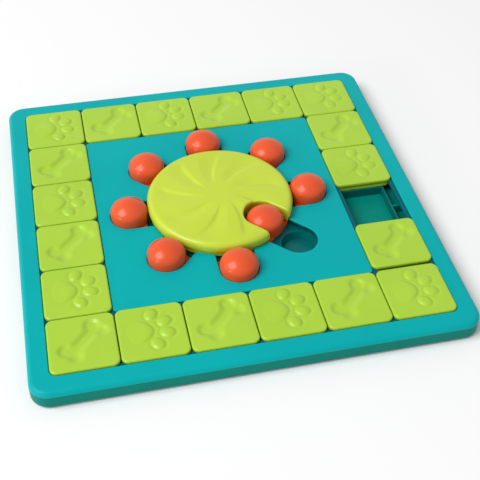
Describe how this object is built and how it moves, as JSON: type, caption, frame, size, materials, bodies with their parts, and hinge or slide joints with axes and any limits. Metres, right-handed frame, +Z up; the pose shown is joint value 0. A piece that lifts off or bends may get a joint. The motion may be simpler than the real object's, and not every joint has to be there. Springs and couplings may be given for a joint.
{
  "type": "dog puzzle feeder toy",
  "caption": "Square puzzle feeder board with sliding square tiles around a panel, domed sliding knobs over treat wells, and a notched turning disc.",
  "frame": {"origin": "centre of the board on the plane of its feet", "axes": "+Z up from the feet to the knobs, +X along the board to the right in the picture, +Y away from the viewer"},
  "size_m": [0.3432, 0.3432, 0.0322],
  "materials": {
    "turquoise": "satin moulded ABS",
    "teal": "satin moulded ABS, darker",
    "lime": "glossy moulded ABS",
    "yellow_lime": "glossy moulded ABS",
    "orange": "glossy moulded ABS",
    "pale_nylon": "moulded nylon",
    "screw_steel": "zinc plated",
    "foot_rubber": "soft matt"
  },
  "bodies": {
    "board": {"base_tray": "teal", "bin_rails": "teal", "outer_frame": "turquoise", "centre_panel": "turquoise", "knob_deck": "teal", "treat_cups": "teal", "hub_bush": "pale_nylon", "frame_screws": "screw_steel", "panel_screws": "screw_steel", "rubber_feet": "foot_rubber"},
    "spinner": {"spinner_disc": "yellow_lime", "spinner_washer": "screw_steel", "spinner_screw": "screw_steel"},
    "knob_e": {"knob_e": "orange"},
    "knob_ne": {"knob_ne": "orange"},
    "knob_n": {"knob_n": "orange"},
    "knob_nw": {"knob_nw": "orange"},
    "knob_w": {"knob_w": "orange"},
    "knob_sw": {"knob_sw": "orange"},
    "knob_s": {"knob_s": "orange"},
    "knob_se": {"knob_se": "orange"},
    "tile_01": {"tile_01_cap": "lime", "tile_01_glide": "lime"},
    "tile_02": {"tile_02_cap": "lime", "tile_02_glide": "lime"},
    "tile_03": {"tile_03_cap": "lime", "tile_03_glide": "lime"},
    "tile_04": {"tile_04_cap": "lime", "tile_04_glide": "lime"},
    "tile_05": {"tile_05_cap": "lime", "tile_05_glide": "lime"},
    "tile_06": {"tile_06_cap": "lime", "tile_06_glide": "lime"},
    "tile_07": {"tile_07_cap": "lime", "tile_07_glide": "lime"},
    "tile_08": {"tile_08_cap": "lime", "tile_08_glide": "lime"},
    "tile_09": {"tile_09_cap": "lime", "tile_09_glide": "lime"},
    "tile_10": {"tile_10_cap": "lime", "tile_10_glide": "lime"},
    "tile_11": {"tile_11_cap": "lime", "tile_11_glide": "lime"},
    "tile_12": {"tile_12_cap": "lime", "tile_12_glide": "lime"},
    "tile_13": {"tile_13_cap": "lime", "tile_13_glide": "lime"},
    "tile_14": {"tile_14_cap": "lime", "tile_14_glide": "lime"},
    "tile_15": {"tile_15_cap": "lime", "tile_15_glide": "lime"},
    "tile_16": {"tile_16_cap": "lime", "tile_16_glide": "lime"},
    "tile_17": {"tile_17_cap": "lime", "tile_17_glide": "lime"},
    "tile_18": {"tile_18_cap": "lime", "tile_18_glide": "lime"},
    "tile_19": {"tile_19_cap": "lime", "tile_19_glide": "lime"}
  },
  "joints": [
    {"name": "spinner_turn", "type": "hinge", "parent": "board", "child": "spinner", "pos_m": [0, 0, 0.0235], "axis": [0, 0, 1], "range_deg": [-360, 360]},
    {"name": "knob_e_slide", "type": "slide", "parent": "board", "child": "knob_e", "axis": [1, 0, 0], "range_m": [-0.0002, 0]},
    {"name": "knob_ne_slide", "type": "slide", "parent": "board", "child": "knob_ne", "axis": [0.7071, 0.7071, 0], "range_m": [-0.0002, 0]},
    {"name": "knob_n_slide", "type": "slide", "parent": "board", "child": "knob_n", "axis": [0, 1, 0], "range_m": [-0.0002, 0]},
    {"name": "knob_nw_slide", "type": "slide", "parent": "board", "child": "knob_nw", "axis": [-0.7071, 0.7071, 0], "range_m": [-0.0002, 0]},
    {"name": "knob_w_slide", "type": "slide", "parent": "board", "child": "knob_w", "axis": [-1, 0, 0], "range_m": [-0.0002, 0]},
    {"name": "knob_sw_slide", "type": "slide", "parent": "board", "child": "knob_sw", "axis": [-0.7071, -0.7071, 0], "range_m": [-0.0002, 0]},
    {"name": "knob_s_slide", "type": "slide", "parent": "board", "child": "knob_s", "axis": [0, -1, 0], "range_m": [-0.0002, 0]},
    {"name": "knob_se_slide", "type": "slide", "parent": "spinner", "child": "knob_se", "axis": [0.7071, -0.7071, 0], "range_m": [-0.004, 0.0327]},
    {"name": "tile_01_slide", "type": "slide", "parent": "board", "child": "tile_01", "axis": [1, 0, 0], "range_m": [-0.0003, 0.0003]},
    {"name": "tile_02_slide", "type": "slide", "parent": "board", "child": "tile_02", "axis": [1, 0, 0], "range_m": [-0.0003, 0.0003]},
    {"name": "tile_03_slide", "type": "slide", "parent": "board", "child": "tile_03", "axis": [1, 0, 0], "range_m": [-0.0003, 0.0003]},
    {"name": "tile_04_slide", "type": "slide", "parent": "board", "child": "tile_04", "axis": [1, 0, 0], "range_m": [-0.0003, 0.0003]},
    {"name": "tile_05_slide", "type": "slide", "parent": "board", "child": "tile_05", "axis": [1, 0, 0], "range_m": [-0.0003, 0.0003]},
    {"name": "tile_06_slide", "type": "slide", "parent": "board", "child": "tile_06", "axis": [0, 1, 0], "range_m": [-0.0495, 0]},
    {"name": "tile_07_slide", "type": "slide", "parent": "board", "child": "tile_07", "axis": [0, 1, 0], "range_m": [-0.0495, 0]},
    {"name": "tile_08_slide", "type": "slide", "parent": "board", "child": "tile_08", "axis": [0, 1, 0], "range_m": [-0.0495, 0]},
    {"name": "tile_09_slide", "type": "slide", "parent": "board", "child": "tile_09", "axis": [0, 1, 0], "range_m": [-0.0025, 0.0495]},
    {"name": "tile_10_slide", "type": "slide", "parent": "board", "child": "tile_10", "axis": [1, 0, 0], "range_m": [-0.0003, 0.0003]},
    {"name": "tile_11_slide", "type": "slide", "parent": "board", "child": "tile_11", "axis": [1, 0, 0], "range_m": [-0.0003, 0.0003]},
    {"name": "tile_12_slide", "type": "slide", "parent": "board", "child": "tile_12", "axis": [1, 0, 0], "range_m": [-0.0003, 0.0003]},
    {"name": "tile_13_slide", "type": "slide", "parent": "board", "child": "tile_13", "axis": [1, 0, 0], "range_m": [-0.0003, 0.0003]},
    {"name": "tile_14_slide", "type": "slide", "parent": "board", "child": "tile_14", "axis": [1, 0, 0], "range_m": [-0.0003, 0.0003]},
    {"name": "tile_15_slide", "type": "slide", "parent": "board", "child": "tile_15", "axis": [1, 0, 0], "range_m": [-0.0003, 0.0003]},
    {"name": "tile_16_slide", "type": "slide", "parent": "board", "child": "tile_16", "axis": [0, 1, 0], "range_m": [-0.0003, 0.0003]},
    {"name": "tile_17_slide", "type": "slide", "parent": "board", "child": "tile_17", "axis": [0, 1, 0], "range_m": [-0.0003, 0.0003]},
    {"name": "tile_18_slide", "type": "slide", "parent": "board", "child": "tile_18", "axis": [0, 1, 0], "range_m": [-0.0003, 0.0003]},
    {"name": "tile_19_slide", "type": "slide", "parent": "board", "child": "tile_19", "axis": [0, 1, 0], "range_m": [-0.0003, 0.0003]}
  ],
  "couplings": [
    {"joint": "tile_06_slide", "follows": "tile_08_slide", "ratio": 1},
    {"joint": "tile_07_slide", "follows": "tile_08_slide", "ratio": 1}
  ]
}
